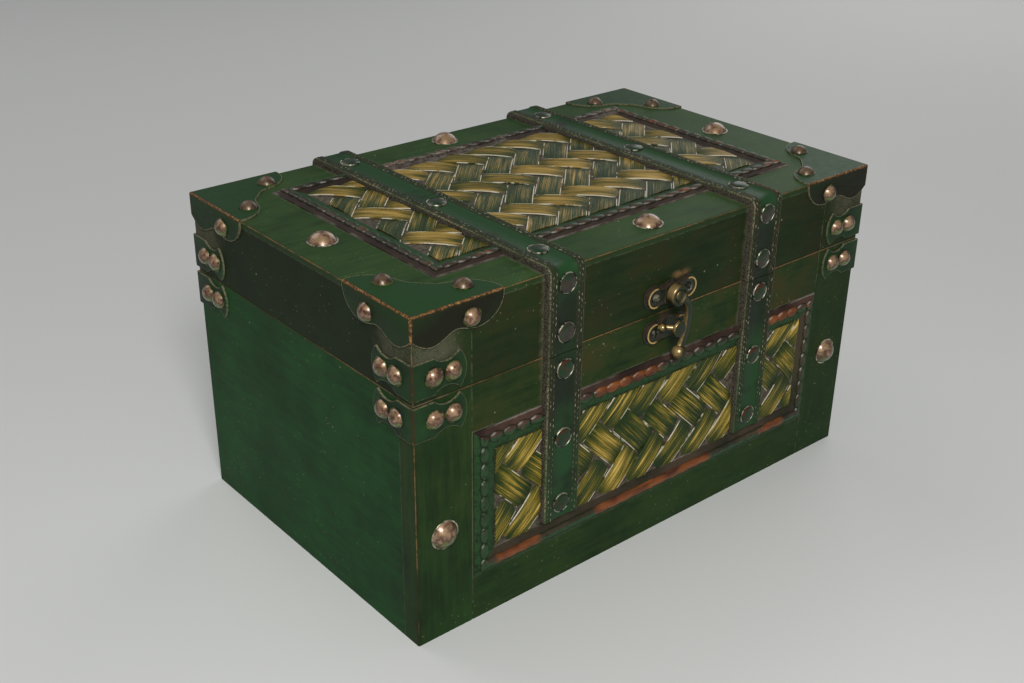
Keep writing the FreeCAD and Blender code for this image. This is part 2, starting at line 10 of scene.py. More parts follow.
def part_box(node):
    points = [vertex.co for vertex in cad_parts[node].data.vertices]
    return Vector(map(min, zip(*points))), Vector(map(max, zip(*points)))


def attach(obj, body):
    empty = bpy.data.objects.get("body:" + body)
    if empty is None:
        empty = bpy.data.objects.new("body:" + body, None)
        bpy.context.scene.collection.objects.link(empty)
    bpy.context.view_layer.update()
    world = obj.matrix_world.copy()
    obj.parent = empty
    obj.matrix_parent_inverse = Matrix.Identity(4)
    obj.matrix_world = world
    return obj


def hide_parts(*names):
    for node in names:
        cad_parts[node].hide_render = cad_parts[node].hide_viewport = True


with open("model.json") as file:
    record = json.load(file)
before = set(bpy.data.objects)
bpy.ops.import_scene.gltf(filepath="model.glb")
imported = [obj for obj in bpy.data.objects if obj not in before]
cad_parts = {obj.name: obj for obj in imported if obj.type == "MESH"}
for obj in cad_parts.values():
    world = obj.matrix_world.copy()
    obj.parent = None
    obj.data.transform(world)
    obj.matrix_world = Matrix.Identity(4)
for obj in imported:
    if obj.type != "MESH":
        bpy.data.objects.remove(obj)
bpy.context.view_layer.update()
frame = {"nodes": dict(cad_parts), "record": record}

nodes = frame["nodes"]
bodies = frame["record"]["behaviour"]["bodies"]
bodyOf = {node: body for body, members in bodies.items() for node in members}
mm = 0.001
print("frame loaded,", len(nodes), "nodes")


# places of the case, read from the frame, in mm
def boxOf(node):
    low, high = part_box(node)
    return low / mm, high / mm


case = {
    "right": boxOf("body_side_right")[1].x,
    "front": boxOf("front_board")[0].y,
    "back": boxOf("body_back")[1].y,
    "bodyTop": boxOf("front_board")[1].z,
    "topFoot": boxOf("lid_top_board")[0].z,
    "top": boxOf("lid_top_board")[1].z,
    "strap": boxOf("front_strap_right")[0].x / 2 + boxOf("front_strap_right")[1].x / 2,
    "joint": boxOf("front_board")[1].x,
    "stileBack": boxOf("front_stile_left")[1].y,
    "frameSide": boxOf("front_moulding_right")[1].x,
    "frameFoot": boxOf("front_moulding_right")[0].z,
    "frameHead": boxOf("front_moulding_right")[1].z,
    "lidFrameFront": boxOf("lid_moulding_right")[0].y,
    "lidFrameRear": boxOf("lid_moulding_right")[1].y,
    "plateRight": boxOf("hook_plate")[1].x,
    "plateTop": boxOf("hook_plate")[1].z,
}


def faceFrame(along, up, out, origin):
    turn = Matrix((along, up, out)).transposed().to_4x4()
    return Matrix.Translation(origin) @ turn


# each face: first direction along it, second up or back, third outward
faces = {
    "front": faceFrame((1, 0, 0), (0, 0, 1), (0, -1, 0), (0, case["front"], 0)),
    "back": faceFrame((-1, 0, 0), (0, 0, 1), (0, 1, 0), (0, case["back"], 0)),
    "left": faceFrame((0, -1, 0), (0, 0, 1), (-1, 0, 0), (-case["right"], 0, 0)),
    "right": faceFrame((0, 1, 0), (0, 0, 1), (1, 0, 0), (case["right"], 0, 0)),
    "top": faceFrame((1, 0, 0), (0, 1, 0), (0, 0, 1), (0, 0, case["top"])),
}


# camera, lamps, world and floor
def tint(red, green, blue):
    def linear(value):
        value = value / 255
        return value / 12.92 if value <= 0.04045 else ((value + 0.055) / 1.055) ** 2.4
    return (linear(red), linear(green), linear(blue), 1)


shot = {"place": (-0.4294, -0.4842, 0.3994), "turn": (63.252, -0.601, -40.05), "lens": 46.56, "sensor": 36}
studio = {
    "floorSize": 6, "floor": tint(226, 226, 222), "floorRoughness": 0.9,
    "sky": tint(236, 240, 245), "skyStrength": 0.22, "aim": (0, 0, 0.08),
    # place, width and power
    "lamps": {
        "keyLamp": ((-0.53, -0.73, 0.83), 0.3, 7.9),
        "fillLamp": ((-0.3, -1.5, 0.7), 1.2, 1.6),
        "backLamp": ((-0.3, 1.3, 1.4), 1.2, 5),
        "rightLamp": ((1.35, 0.55, 0.8), 1.0, 4),
    },
}


def addToScene(thing):
    bpy.context.scene.collection.objects.link(thing)
    return thing


def setStage():
    camData = bpy.data.cameras.new("shotCamera")
    camData.lens = shot["lens"]
    camData.sensor_width = shot["sensor"]
    camera = addToScene(bpy.data.objects.new("shotCamera", camData))
    camera.location = shot["place"]
    camera.rotation_euler = [math.radians(angle) for angle in shot["turn"]]
    bpy.context.scene.camera = camera
    for name, (place, size, watts) in studio["lamps"].items():
        lampData = bpy.data.lights.new(name, "AREA")
        lampData.size = size
        lampData.energy = watts
        lamp = addToScene(bpy.data.objects.new(name, lampData))
        lamp.location = place
        lamp.rotation_euler = (Vector(studio["aim"]) - Vector(place)).to_track_quat("-Z", "Y").to_euler()
    world = bpy.data.worlds.new("studioWorld")
    world.use_nodes = True
    sky = world.node_tree.nodes["Background"]
    sky.inputs["Color"].default_value = studio["sky"]
    sky.inputs["Strength"].default_value = studio["skyStrength"]
    bpy.context.scene.world = world
    bpy.context.scene.view_settings.view_transform = "Standard"
    bm = bmesh.new()
    bmesh.ops.create_grid(bm, x_segments=1, y_segments=1, size=studio["floorSize"])
    floorMesh = bpy.data.meshes.new("floor")
    bm.to_mesh(floorMesh)
    bm.free()
    floor = addToScene(bpy.data.objects.new("floor", floorMesh))
    floorPaint = bpy.data.materials.new("floorPaint")
    floorPaint.use_nodes = True
    floorShader = floorPaint.node_tree.nodes["Principled BSDF"]
    floorShader.inputs["Base Color"].default_value = studio["floor"]
    floorShader.inputs["Roughness"].default_value = studio["floorRoughness"]
    floorMesh.materials.append(floorPaint)


setStage()
print("stage set")


# one socket of a material, with the sums that are needed on it
class Paint:
    def __init__(self, tree, socket=None):
        self.tree = tree
        self.socket = socket

    def node(self, kind, settings=None, sockets=None, out=0):
        made = self.tree.nodes.new("ShaderNode" + kind)
        for key, value in (settings or {}).items():
            if key == "stops":
                ramp = made.color_ramp.elements
                while len(ramp) < len(value):
                    ramp.new(0.5)
                for stop, (place, colour) in zip(ramp, value):
                    stop.position = place
                    stop.color = colour
            else:
                setattr(made, key, value)
        for key, value in (sockets or {}).items():
            if isinstance(value, Paint):
                self.tree.links.new(value.socket, made.inputs[key])
            else:
                made.inputs[key].default_value = value
        return Paint(self.tree, made.outputs[out] if made.outputs else None)

    def other(self, out):
        return Paint(self.tree, self.socket.node.outputs[out])

    def sum(self, operation, first, second=0.0):
        return self.node("Math", {"operation": operation}, {0: first, 1: second})

    def __add__(self, value):
        return self.sum("ADD", self, value)

    def __radd__(self, value):
        return self.sum("ADD", value, self)

    def __sub__(self, value):
        return self.sum("SUBTRACT", self, value)

    def __rsub__(self, value):
        return self.sum("SUBTRACT", value, self)

    def __mul__(self, value):
        return self.sum("MULTIPLY", self, value)

    def __abs__(self):
        return self.sum("ABSOLUTE", self)

    def least(self, value):
        return self.sum("MINIMUM", self, value)

    def most(self, value):
        return self.sum("MAXIMUM", self, value)

    def fade(self, start, end):
        settings = {"interpolation_type": "SMOOTHSTEP"}
        return self.node("MapRange", settings, {0: self, 1: start, 2: end, 3: 0.0, 4: 1.0})

    def stretched(self, scale, shift=(0, 0, 0)):
        sockets = {0: self, 1: scale, 2: shift}
        return self.node("VectorMath", {"operation": "MULTIPLY_ADD"}, sockets)

    def grainOf(self, scale, detail=3.0, rough=0.55, stretch=(1, 1, 1), shift=(0, 0, 0)):
        sockets = {
            "Vector": self.stretched(stretch, shift), "Scale": scale, "Detail": detail, "Roughness": rough,
        }
        return self.node("TexNoise", None, sockets)

    def dots(self, scale):
        return self.node("TexVoronoi", None, {"Vector": self, "Scale": scale, "Randomness": 1.0}, "Distance")

    def parts(self):
        x = self.node("SeparateXYZ", None, {0: self})
        return x, x.other(1), x.other(2)

    def over(self, mask, colour):
        return self.node("Mix", {"data_type": "RGBA"}, {0: mask, 6: self, 7: colour}, 2)

    def ramp(self, *stops):
        return self.node("ValToRGB", {"stops": stops}, {0: self})

    def bump(self, strength, distance):
        return self.node("Bump", None, {"Strength": strength, "Distance": distance, "Height": self})


def startPaint(name):
    material = bpy.data.materials.new(name)
    material.use_nodes = True
    material.node_tree.nodes.clear()
    blank = Paint(material.node_tree)
    place = blank.node("TexCoord", out="Object")
    return material, place.stretched((1 / mm, 1 / mm, 1 / mm))


def finishPaint(material, sockets):
    blank = Paint(material.node_tree)
    shader = blank.node("BsdfPrincipled", None, sockets)
    blank.node("OutputMaterial", None, {"Surface": shader})
    return material


# how far the surface looks the given way, from the attribute that each piece carries
def facingOf(place, toward):
    normal = place.node("Attribute", {"attribute_name": "outward"}, out="Vector")
    return place.node("VectorMath", {"operation": "DOT_PRODUCT"}, {0: normal, 1: toward}, "Value")


# green lacquer over brown wood, rubbed through in thin broken lines along the edges
lacquer = {
    # the second pair, for the lid top, is lighter: painted sheen and green reflection on its upward face
    "green": (tint(25, 41, 18), tint(37, 70, 31)), "fresh": (tint(36, 54, 28), tint(54, 88, 45)),
    "side": (tint(19, 45, 19), tint(27, 80, 36)), "inside": (tint(42, 30, 20), tint(80, 58, 37)),
    "brown": tint(62, 55, 25), "wear": tint(136, 104, 68), "wearDark": tint(46, 34, 20),
    "dust": tint(96, 92, 76), "speck": tint(196, 190, 158), "joint": tint(88, 88, 72),
    "soot": tint(19, 20, 12),
    "grain": {"x": (0.05, 0.5, 0.5), "y": (0.5, 0.05, 0.5), "z": (0.5, 0.5, 0.05)},
    # axis across the frame of moulding, and its ends
    "frames": {"lid": (1, "lidFrameFront", "lidFrameRear"), "front": (2, "frameFoot", "frameHead")},
    # where a finish starts and where it is full, or how far it lies from a landmark, in mm
    "skin": (3, 1), "browner": (25, 75), "grimy": (70, 150), "darkEdge": (0.4, 0.9), "wornEdge": (1.25, 0.9),
    "stain": (5.2, 2.6), "wornSide": (90, 40), "behindFront": (2, 4), "jointLine": (0.5, 0.2),
    "strapDust": (17, 13.5), "strapDustUp": (90, 100), "strapFront": (0, -10), "lidFrom": 0.3,
    "frameDust": (2.1, 1.0), "cornerDust": (38, 22), "underCap": 17, "underCapHalf": (9, 5),
    "seamDust": (30, 20), "seamDustHalf": (4, 2),
    "scuffIn": 10, "scuffUp": 1, "scuffHalf": (9, 2), "scuffTall": (3, 0.5), "bareWood": (1.6, 2.4),
}


def lacquerPaint(name, grain, green, browned, sooty, level, framed):
    p = lacquer
    material, place = startPaint(name)
    x, y, z = place.parts()
    inward = y - case["front"]
    cloud = place.grainOf(0.02, 4.0, 0.6)
    patch = place.grainOf(0.07, 4.0, 0.65)
    streak = place.grainOf(0.6, 4.0, 0.65, p["grain"][grain])
    ragged = place.grainOf(0.22, 4.0, 0.65)
    fine = place.grainOf(1.6, 2.0, 0.6)
    deep, light = p[green]
    colour = (cloud * 0.4 + patch * 0.2 + streak * 0.4).ramp((0.36, deep), (0.62, light))
    mottled = (patch * 0.4 + cloud * 0.4 + streak * 0.3).fade(0.42, 0.74)
    colour = colour.over(mottled * (z.fade(*p["browner"]) * 0.7 + 0.3) * browned, p["brown"])
    # painted shade: the front darkens towards the right, where the lamp's light falls off
    rightFalloffShade = x.fade(*p["grimy"]) * inward.fade(*p["skin"]) * 0.3
    colour = colour.over((patch + 0.5) * sooty + rightFalloffShade, p["soot"])
    if framed == "lid":
        colour = colour.over((case["top"] - z).fade(*p["darkEdge"]) * 0.75, deep)
    # distance to the nearest edge of the case, on whichever face this is
    sideGap = case["right"] - abs(x)
    endGap = inward.least(case["back"] - y)
    levelGap = abs(z - level)
    edgeGap = sideGap.least(endGap).most(sideGap.most(endGap).least(levelGap))
    worn = (edgeGap + ragged * 1.5).fade(*p["wornEdge"]) * cloud.fade(0.32, 0.46)
    if grain == "y":
        worn = worn * (inward.fade(*p["wornSide"]) * 0.8 + 0.2)
    stained = (edgeGap + ragged * 6.0).fade(*p["stain"])
    behind = inward.fade(*p["behindFront"]) * 9
    joint = (abs(abs(x) - case["joint"]) + behind).least(abs(z - case["topFoot"]) + 0.15)
    joint = joint.least(abs(y - case["stileBack"]) + sideGap.most(0.0) + 0.1)
    # dust beside straps, round the frames of moulding and under the corner mounts
    strapGap = abs(abs(x) - case["strap"])
    strapped = y.fade(*p["strapFront"]).most(z.fade(case["bodyTop"], case["bodyTop"] + p["lidFrom"]))
    dusty = (strapGap + ragged * 6).fade(*p["strapDust"]) * z.fade(*p["strapDustUp"]) * strapped * 0.7
    if framed:
        axis, low, high = p["frames"][framed]
        across = x.other(axis)
        frameGap = (abs(x) - case["frameSide"]).most(case[low] - across).most(across - case[high])
        dusty = dusty.most((frameGap + ragged * 2.2).fade(*p["frameDust"]) * 0.9)
    cornerGap = sideGap.most(endGap)
    underCap = abs(z - case["top"] + p["underCap"]).fade(*p["underCapHalf"])
    under = (cornerGap + ragged * 14).fade(*p["cornerDust"]) * underCap
    dusty = dusty.most(under * 0.7)
    colour = colour.over(dusty * (fine * 0.6 + patch * 0.5).fade(0.36, 0.62), p["dust"])
    colour = colour.over(joint.fade(*p["jointLine"]) * ragged.fade(0.4, 0.6) * 0.7, p["joint"])
    colour = colour.over(stained * 0.45, p["wearDark"])
    colour = colour.over(worn * ragged.fade(0.28, 0.5) * 0.9, p["wear"])
    seamDust = cornerGap.fade(*p["seamDust"]) * abs(z - case["bodyTop"]).fade(*p["seamDustHalf"])
    colour = colour.over(worn * seamDust * 0.7, p["dust"])
    scuff = abs(x - case["plateRight"] + p["scuffIn"]).fade(*p["scuffHalf"])
    scuff = scuff * abs(z - case["plateTop"] - p["scuffUp"]).fade(*p["scuffTall"]) * endGap.fade(*p["skin"])
    colour = colour.over(scuff * ragged.fade(0.35, 0.6) * 0.7, p["wear"])
    speck = (place.dots(0.1) + fine * 0.05).fade(0.085, 0.06) * ragged.fade(0.5, 0.56)
    colour = colour.over(speck * 0.42, p["speck"])
    grit = (place.dots(0.3) + fine * 0.08).fade(0.16, 0.1) * cloud.fade(0.42, 0.56)
    colour = colour.over(grit * 0.28, p["speck"])
    within = sideGap.least(endGap).least(abs(z - case["top"])).least(z).fade(*p["bareWood"])
    colour = colour.over(within, streak.ramp(*zip((0.36, 0.64), p["inside"])))
    roughness = 0.42 + streak * 0.2 + dusty * 0.3 + within * 0.2
    height = streak * 0.4 + fine * 0.12 - worn * 0.6 + speck * 0.4
    return finishPaint(material, {
        "Base Color": colour, "Roughness": roughness, "Specular IOR Level": 0.1,
        "Normal": height.bump(0.35, 0.0003),
    })


def paintBoards():
    top = case["top"]
    seam = case["bodyTop"]
    # boards, way of the grain, green, share of brown, share of soot, level of the worn edge, its frame
    groups = {
        # the lid top's lighter green is painted sheen and reflection
        "lacquerLidTop": (("lid_top_board",), "x", "fresh", 0.3, 0.0, top, "lid"),
        "lacquerLidFront": (("lid_front_board",), "x", "green", 0.9, 0.42, top, None),
        "lacquerLidSides": (("lid_side_left", "lid_side_right"), "y", "green", 0.3, 0.62, top, None),
        "lacquerLidBack": (("lid_back",), "x", "green", 0.3, 0.62, top, None),
        "lacquerLidStiles": (("lid_stile_left", "lid_stile_right"), "z", "green", 0.6, 0.25, top, None),
        "lacquerFront": (("front_board",), "x", "green", 1.0, 0.0, seam, "front"),
        "lacquerStiles": (("front_stile_left", "front_stile_right"), "z", "green", 0.35, 0.0, seam, None),
        "lacquerSides": (("body_side_left", "body_side_right"), "y", "side", 0.1, 0.0, seam, None),
        "lacquerBack": (("body_back", "body_bottom"), "x", "side", 0.1, 0.0, seam, None),
    }
    for name, (boards, *finish) in groups.items():
        paint = lacquerPaint(name, *finish)
        for board in boards:
            for slot in nodes[board].material_slots:
                slot.material = paint
    print("boards painted in", len(groups), "finishes")


paintBoards()


# helpers for pieces: parts are modelled in mm and brought to metres at the end
def finishPiece(name, bm, replaced, paints, sharp):
    bmesh.ops.recalc_face_normals(bm, faces=bm.faces)
    bmesh.ops.scale(bm, vec=(mm, mm, mm), verts=bm.verts)
    mesh = bpy.data.meshes.new(name)
    bm.to_mesh(mesh)
    bm.free()
    mesh.shade_smooth()
    mesh.set_sharp_from_angle(angle=math.radians(sharp))
    # which way the surface looks, mostly for painted light that differs from side to side
    outward = mesh.attributes.new("outward", "FLOAT_VECTOR", "CORNER")
    outward.data.foreach_set("vector", [value for corner in mesh.corner_normals for value in corner.vector])
    for paint in paints:
        mesh.materials.append(paint)
    piece = addToScene(bpy.data.objects.new(name, mesh))
    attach(piece, bodyOf[replaced[0]])
    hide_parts(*replaced)


def camel(node):
    first, *rest = node.split("_")
    return first + "".join(word.capitalize() for word in rest)


def asShape(bm, name):
    bmesh.ops.recalc_face_normals(bm, faces=bm.faces)
    shape = bpy.data.meshes.new(name)
    bm.to_mesh(shape)
    bm.free()
    return shape


def stamp(bm, shape, matrix):
    start = len(bm.verts)
    bm.from_mesh(shape)
    bm.verts.ensure_lookup_table()
    bmesh.ops.transform(bm, matrix=matrix, verts=bm.verts[start:])


def only(kind, geometry):
    return [part for part in geometry if isinstance(part, kind)]


def cutAway(bm, spot, way):
    everything = bm.verts[:] + bm.edges[:] + bm.faces[:]
    bmesh.ops.bisect_plane(bm, geom=everything, plane_co=spot, plane_no=way, clear_outer=True)


def soften(bm, edges, width, steps):
    bmesh.ops.bevel(bm, geom=edges, offset=width, segments=steps, profile=0.5, affect="EDGES",
                    material=-1, clamp_overlap=True)


# reach in mm within which points are joined, and turn in degrees under which faces are one
joining = {"weld": 0.002, "fineWeld": 0.0005, "flat": 1.0}


def mergedCopy(node):
    bm = bmesh.new()
    bm.from_mesh(nodes[node].data)
    bmesh.ops.scale(bm, vec=(1 / mm, 1 / mm, 1 / mm), verts=bm.verts)
    bmesh.ops.remove_doubles(bm, verts=bm.verts, dist=joining["weld"])
    return bm


# a copy whose flat faces are whole again
def flatCopy(node):
    bm = mergedCopy(node)
    angle = math.radians(joining["flat"])
    bmesh.ops.dissolve_limit(bm, angle_limit=angle, verts=bm.verts, edges=bm.edges)
    bm.normal_update()
    return bm


# the separate solids of a node, as boxes
def islands(node):
    bm = mergedCopy(node)
    waiting = set(bm.verts)
    found = []
    while waiting:
        stack = [waiting.pop()]
        group = []
        while stack:
            vert = stack.pop()
            group.append(vert.co.copy())
            for edge in vert.link_edges:
                other = edge.other_vert(vert)
                if other in waiting:
                    waiting.remove(other)
                    stack.append(other)
        low = Vector([min(place[i] for place in group) for i in range(3)])
        high = Vector([max(place[i] for place in group) for i in range(3)])
        found.append((low, high))
    bm.free()
    return sorted(found, key=lambda pair: [round(value, 1) for value in pair[0]])


# where a flat-bottomed head sits: its face frame moved to the seat, its radius and its height
def seatOf(low, high):
    size = high - low
    middle = (low + high) / 2
    axis = min(range(3), key=lambda i: size[i])
    side = (("left", "right"), ("front", "back"), ("top", "top"))[axis][middle[axis] > 0]
    place = faces[side].copy()
    out = place.to_3x3() @ Vector((0, 0, 1))
    place.translation = middle - out * size[axis] / 2
    return place, max(size) / 2, size[axis]


# woven panels: arched strips lying two over, two under, on a dark sheet
weave = {
    "pitch": 14.0, "width": 13.4, "length": 33.0, "crest": 1.5, "fall": 1.55, "crown": 0.3, "thickness": 0.4,
    "along": 14, "across": 6, "sheet": 0.35, "loose": 0.3, "skew": 1.8, "margin": 0.05, "tuck": 6.0,
    "spare": 12, "bow": 2.4, "lowest": 0.1, "widthSpread": 0.04, "liftSpread": (-0.15, 0.05),
    "toneSpread": 0.3, "frontShift": (-2.5, 90.5), "lidShift": (1.6, -5.4),
    # stretch of the fine and broad fibres, and how far apart two tones take them
    "fibre": (1.1, 36, 1), "broad": (1.3, 3.4, 1), "apart": 40,
    "dark": tint(31, 50, 16), "olive": tint(58, 74, 18), "gold": tint(145, 121, 33),
    "straw": tint(234, 199, 104), "pale": tint(230, 221, 196), "tan": tint(126, 103, 41),
    "sand": tint(196, 162, 84), "gap": tint(44, 38, 28), "backing": tint(104, 92, 76),
}


def weavePaint(name, fray, gold, straw, rimFrom):
    p = weave
    material, place = startPaint(name)
    uv = place.node("TexCoord", out="UV")
    tone = place.node("Attribute", {"attribute_name": "tone"}, out="Fac")
    along, across, _ = uv.parts()
    shift = place.node("CombineXYZ", None, {2: tone * p["apart"]})
    fibre = uv.grainOf(1.0, 4.0, 0.7, p["fibre"], shift)
    broad = uv.grainOf(1.0, 2.0, 0.5, p["broad"], shift)
    # painted shade: each strip darkens towards its ends, where it dips under the crossing strips
    ends = abs(along - 0.5).fade(0.12, 0.42)
    shade = fibre * 2.2 + broad * 1.0 + tone * 0.4 - ends * 0.2 - 1.39
    colour = shade.ramp((0.16, p["dark"]), (0.36, p["olive"]), (0.58, p[gold]), (0.9, p[straw]))
    # pale frayed edges along the strips, partly painted glints where the edges catch the light
    frayed = place.grainOf(0.1, 3.0, 0.6)
    rim = (abs(across - 0.5) + fibre * 0.05).fade(rimFrom, rimFrom + 0.025) * frayed.fade(fray, fray + 0.08)
    colour = colour.over(rim * 0.9, p["pale"])
    # more painted shade at the very ends of the strips
    colour = colour.over(ends.fade(0.6, 1.0) * 0.3, p["dark"])
    return finishPaint(material, {
        "Base Color": colour, "Roughness": 0.5 - shade * 0.2, "Specular IOR Level": 0.2,
        "Normal": (fibre + rim * 0.4).bump(0.9, 0.0006),
    })


def weaveSheetPaint():
    material, place = startPaint("wovenBacking")
    colour = place.grainOf(0.4, 3.0, 0.6).ramp((0.35, weave["gap"]), (0.7, weave["backing"]))
    return finishPaint(material, {"Base Color": colour, "Roughness": 0.8})


def layStrip(bm, tones, rng, spot, turn, tone):
    p = weave
    made = bmesh.ops.create_grid(bm, x_segments=p["along"], y_segments=p["across"], size=0.5, calc_uvs=True)
    verts = made["verts"]
    width = p["width"] * (1 + rng.uniform(-p["widthSpread"], p["widthSpread"]))
    bmesh.ops.scale(bm, vec=(p["length"], width, 1), verts=verts)
    lift = rng.uniform(*p["liftSpread"])
    for vert in verts:
        run = abs(vert.co.x) / (p["length"] / 2)
        side = vert.co.y / (width / 2)
        level = p["crest"] + lift - p["fall"] * run ** p["bow"] - p["crown"] * side ** 2
        vert.co.z = max(p["lowest"], level)
    angle = math.radians(turn + rng.uniform(-p["skew"], p["skew"]))
    bmesh.ops.rotate(bm, cent=(0, 0, 0), matrix=Matrix.Rotation(angle, 3, "Z"), verts=verts)
    nudge = Vector((rng.uniform(-p["loose"], p["loose"]), rng.uniform(-p["loose"], p["loose"]), 0))
    bmesh.ops.translate(bm, vec=Vector((spot[0], spot[1], 0)) + nudge, verts=verts)
    value = tone + rng.uniform(-p["toneSpread"], p["toneSpread"])
    for face in {face for vert in verts for face in vert.link_faces}:
        face[tones] = value


# the strips of one window, cut to its sides, on their backing sheet
def weaveWindow(low, high, shift, ways, rng):
    p = weave
    bm = bmesh.new()
    bm.loops.layers.uv.new("UVMap")
    tones = bm.faces.layers.float.new("tone")
    cell = p["pitch"] / math.sqrt(2)
    reach = p["tuck"]
    count = int((high - low).length / cell) + p["spare"]
    for i in range(-count, count + 1):
        for j in range(-count, count + 1):
            over = (i - j) % 4
            if over not in (1, 2):
                continue
            step = (0, 0.5) if over == 1 else (0.5, 0)
            u = shift[0] + cell * (i + step[0] + j + step[1])
            v = shift[1] + cell * (j + step[1] - i - step[0])
            if low.x - reach < u < high.x + reach and low.y - reach < v < high.y + reach:
                turn, tone = ways[over - 1]
                layStrip(bm, tones, rng, (u, v), turn, tone)
    for spot, way in ((low, (-1, 0, 0)), (low, (0, -1, 0)), (high, (1, 0, 0)), (high, (0, 1, 0))):
        cutAway(bm, (spot.x, spot.y, 0), way)
    bmesh.ops.solidify(bm, geom=bm.faces[:], thickness=p["thickness"])
    sheet = bmesh.ops.create_cube(bm, size=1)["verts"]
    size = high - low
    bmesh.ops.scale(bm, vec=(size.x, size.y, p["sheet"]), verts=sheet)
    middle = (low + high) / 2
    bmesh.ops.translate(bm, vec=(middle.x, middle.y, p["sheet"] / 2), verts=sheet)
    for face in {face for vert in sheet for face in vert.link_faces}:
        face.material_index = 1
    return bm


def buildWeave():
    backing = weaveSheetPaint()
    # node, face, shift of the pattern, turn and tone of the strips of each way, seed, finish; the two ways'
    # tones differ as painted sheen
    panels = {
        "frontWeave": ("front_woven_panel", "front", weave["frontShift"], ((45, 0.6), (-45, 0.38)), 3,
                       (0.47, "gold", "straw", 0.48)),
        "lidWeave": ("lid_woven_panel", "top", weave["lidShift"], ((45, 0.42), (135, 1.1)), 8,
                     (0.42, "tan", "sand", 0.478)),
    }
    for name, (node, side, shift, ways, seed, finish) in panels.items():
        rng = random.Random(seed)
        whole = bmesh.new()
        toFace = faces[side].inverted()
        for low, high in islands(node):
            ends = (toFace @ low, toFace @ high)
            corner = Vector((min(e.x for e in ends), min(e.y for e in ends)))
            far = Vector((max(e.x for e in ends), max(e.y for e in ends)))
            gap = Vector((weave["margin"], weave["margin"]))
            shape = asShape(weaveWindow(corner + gap, far - gap, shift, ways, rng), "weaveWindow")
            stamp(whole, shape, faces[side])
        paints = [weavePaint(name + "Strips", *finish), backing]
        finishPiece(name, whole, [node], paints, sharp=40)
        print(name, "laid")


buildWeave()


# beaded mouldings: a ridge with smooth flanks and a chain of small beads on its crest
moulding = {
    "arch": ((0, 0), (0, 0.5), (3.2, 1.5), (5.2, 1.75), (7.2, 1.5), (12.0, 0.6), (12.0, 0)),
    "round": 0.6, "roundSteps": 3, "seat": 0.1, "pitch": 8.5, "beadHalf": (4.4, 2.7, 1.5), "beadAcross": 5.2,
    "beadLevel": 1.35, "beadFaces": (14, 10), "sunk": 1.0, "drawnOut": {"lid": 1.25, "bottom": 1.8},
    # ways towards the lamp: for the painted sheen on each frame and the painted glints on the beads
    "towardFront": (-0.2, -0.2, 0.9), "towardLid": (-0.8, -0.9, 0.2), "towardGlint": (-0.46, -0.62, 0.64),
    "towardLeft": (-0.9, -0.3, 0.3), "rearDust": (13, 11),
    # middle and half length of each stretch rubbed bare
    "bareFoot": ((-93, 14), (-2, 42), (92, 8)), "bareHead": ((-24, 22), (90, 12)),
    # umber and plum paint the sheen on the lit side, green the reflection on the far side; rust and amber are
    # bare wear
    "umber": tint(42, 28, 25), "plum": tint(78, 58, 48), "rust": tint(72, 37, 23), "amber": tint(140, 80, 36),
    "green": tint(38, 70, 37), "soot": tint(23, 33, 17), "dust": tint(136, 128, 118),
    "tip": tint(196, 190, 178),
}


